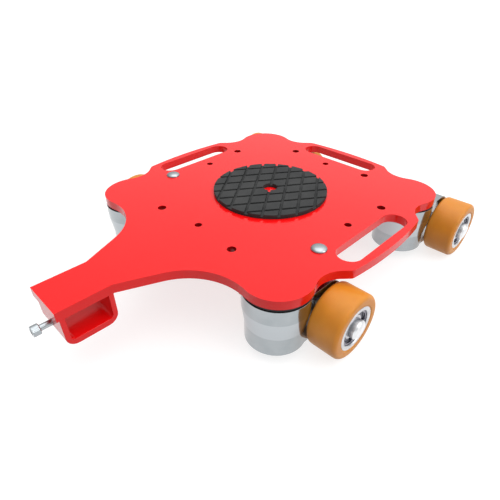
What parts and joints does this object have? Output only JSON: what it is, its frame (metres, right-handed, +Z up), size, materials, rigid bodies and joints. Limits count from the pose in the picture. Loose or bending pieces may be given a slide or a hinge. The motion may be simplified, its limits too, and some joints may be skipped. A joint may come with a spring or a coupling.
{
  "type": "wheel dolly",
  "caption": "Low rotary machinery skate: a red steel deck plate with a round rubber load pad, hand slots and a bar receiver, on swivelling units with orange wheels.",
  "frame": {"origin": "centre of the deck plate's top face, which is the centre of the load pad", "axes": "+Z up, +X towards the bar receiver on the neck, +Y to the left when facing along +X"},
  "size_m": [0.6069, 0.4644, 0.1078],
  "materials": {
    "deck_paint": "semi-gloss signal red powder coat",
    "pad_rubber": "matt ribbed rubber",
    "zinc_plate": "bright zinc plating",
    "bright_steel": "turned steel",
    "bearing_steel": "ground steel with dark seals",
    "spring_steel": "oiled black spring steel",
    "black_nylon": "matt",
    "orange_polyurethane": "satin cast polyurethane"
  },
  "bodies": {
    "chassis": {"deck_plate": "deck_paint", "bar_receiver": "deck_paint", "load_pad": "pad_rubber", "deck_screw_left": "zinc_plate", "deck_screw_right": "zinc_plate", "kingpin_front_left": "bright_steel", "kingpin_front_right": "bright_steel", "kingpin_rear_left": "bright_steel", "kingpin_rear_right": "bright_steel"},
    "swivel_front_left": {"swivel_hub_front_left": "zinc_plate", "flanged_bush_front_left": "black_nylon", "retaining_ring_front_left": "spring_steel", "axle_front_left": "bright_steel"},
    "wheel_front_left_outer": {"tyre_front_left_outer": "orange_polyurethane", "wheel_core_front_left_outer": "bright_steel", "wheel_bearing_front_left_outer": "bearing_steel", "circlip_front_left_outer": "spring_steel"},
    "wheel_front_left_inner": {"tyre_front_left_inner": "orange_polyurethane", "wheel_core_front_left_inner": "bright_steel", "wheel_bearing_front_left_inner": "bearing_steel", "circlip_front_left_inner": "spring_steel"},
    "swivel_front_right": {"swivel_hub_front_right": "zinc_plate", "flanged_bush_front_right": "black_nylon", "retaining_ring_front_right": "spring_steel", "axle_front_right": "bright_steel"},
    "wheel_front_right_outer": {"tyre_front_right_outer": "orange_polyurethane", "wheel_core_front_right_outer": "bright_steel", "wheel_bearing_front_right_outer": "bearing_steel", "circlip_front_right_outer": "spring_steel"},
    "wheel_front_right_inner": {"tyre_front_right_inner": "orange_polyurethane", "wheel_core_front_right_inner": "bright_steel", "wheel_bearing_front_right_inner": "bearing_steel", "circlip_front_right_inner": "spring_steel"},
    "swivel_rear_left": {"swivel_hub_rear_left": "zinc_plate", "flanged_bush_rear_left": "black_nylon", "retaining_ring_rear_left": "spring_steel", "axle_rear_left": "bright_steel"},
    "wheel_rear_left_outer": {"tyre_rear_left_outer": "orange_polyurethane", "wheel_core_rear_left_outer": "bright_steel", "wheel_bearing_rear_left_outer": "bearing_steel", "circlip_rear_left_outer": "spring_steel"},
    "wheel_rear_left_inner": {"tyre_rear_left_inner": "orange_polyurethane", "wheel_core_rear_left_inner": "bright_steel", "wheel_bearing_rear_left_inner": "bearing_steel", "circlip_rear_left_inner": "spring_steel"},
    "swivel_rear_right": {"swivel_hub_rear_right": "zinc_plate", "flanged_bush_rear_right": "black_nylon", "retaining_ring_rear_right": "spring_steel", "axle_rear_right": "bright_steel"},
    "wheel_rear_right_outer": {"tyre_rear_right_outer": "orange_polyurethane", "wheel_core_rear_right_outer": "bright_steel", "wheel_bearing_rear_right_outer": "bearing_steel", "circlip_rear_right_outer": "spring_steel"},
    "wheel_rear_right_inner": {"tyre_rear_right_inner": "orange_polyurethane", "wheel_core_rear_right_inner": "bright_steel", "wheel_bearing_rear_right_inner": "bearing_steel", "circlip_rear_right_inner": "spring_steel"},
    "clamp_screw": {"clamp_screw": "zinc_plate"}
  },
  "joints": [
    {"name": "swivel_front_left", "type": "hinge", "parent": "chassis", "child": "swivel_front_left", "pos_m": [0.147, 0.147, -0.0158], "axis": [0, 0, 1], "continuous": true},
    {"name": "roll_front_left_outer", "type": "hinge", "parent": "swivel_front_left", "child": "wheel_front_left_outer", "pos_m": [0.098, 0.2066, -0.059], "axis": [0, 1, 0], "continuous": true},
    {"name": "roll_front_left_inner", "type": "hinge", "parent": "swivel_front_left", "child": "wheel_front_left_inner", "pos_m": [0.098, 0.0874, -0.059], "axis": [0, 1, 0], "continuous": true},
    {"name": "swivel_front_right", "type": "hinge", "parent": "chassis", "child": "swivel_front_right", "pos_m": [0.147, -0.147, -0.0158], "axis": [0, 0, 1], "continuous": true},
    {"name": "roll_front_right_outer", "type": "hinge", "parent": "swivel_front_right", "child": "wheel_front_right_outer", "pos_m": [0.098, -0.2066, -0.059], "axis": [0, 1, 0], "continuous": true},
    {"name": "roll_front_right_inner", "type": "hinge", "parent": "swivel_front_right", "child": "wheel_front_right_inner", "pos_m": [0.098, -0.0874, -0.059], "axis": [0, 1, 0], "continuous": true},
    {"name": "swivel_rear_left", "type": "hinge", "parent": "chassis", "child": "swivel_rear_left", "pos_m": [-0.147, 0.147, -0.0158], "axis": [0, 0, 1], "continuous": true},
    {"name": "roll_rear_left_outer", "type": "hinge", "parent": "swivel_rear_left", "child": "wheel_rear_left_outer", "pos_m": [-0.196, 0.2066, -0.059], "axis": [0, 1, 0], "continuous": true},
    {"name": "roll_rear_left_inner", "type": "hinge", "parent": "swivel_rear_left", "child": "wheel_rear_left_inner", "pos_m": [-0.196, 0.0874, -0.059], "axis": [0, 1, 0], "continuous": true},
    {"name": "swivel_rear_right", "type": "hinge", "parent": "chassis", "child": "swivel_rear_right", "pos_m": [-0.147, -0.147, -0.0158], "axis": [0, 0, 1], "continuous": true},
    {"name": "roll_rear_right_outer", "type": "hinge", "parent": "swivel_rear_right", "child": "wheel_rear_right_outer", "pos_m": [-0.196, -0.2066, -0.059], "axis": [0, 1, 0], "continuous": true},
    {"name": "roll_rear_right_inner", "type": "hinge", "parent": "swivel_rear_right", "child": "wheel_rear_right_inner", "pos_m": [-0.196, -0.0874, -0.059], "axis": [0, 1, 0], "continuous": true},
    {"name": "clamp_screw_travel", "type": "slide", "parent": "chassis", "child": "clamp_screw", "axis": [-1, 0, 0], "range_m": [-0.004, 0.012]}
  ]
}
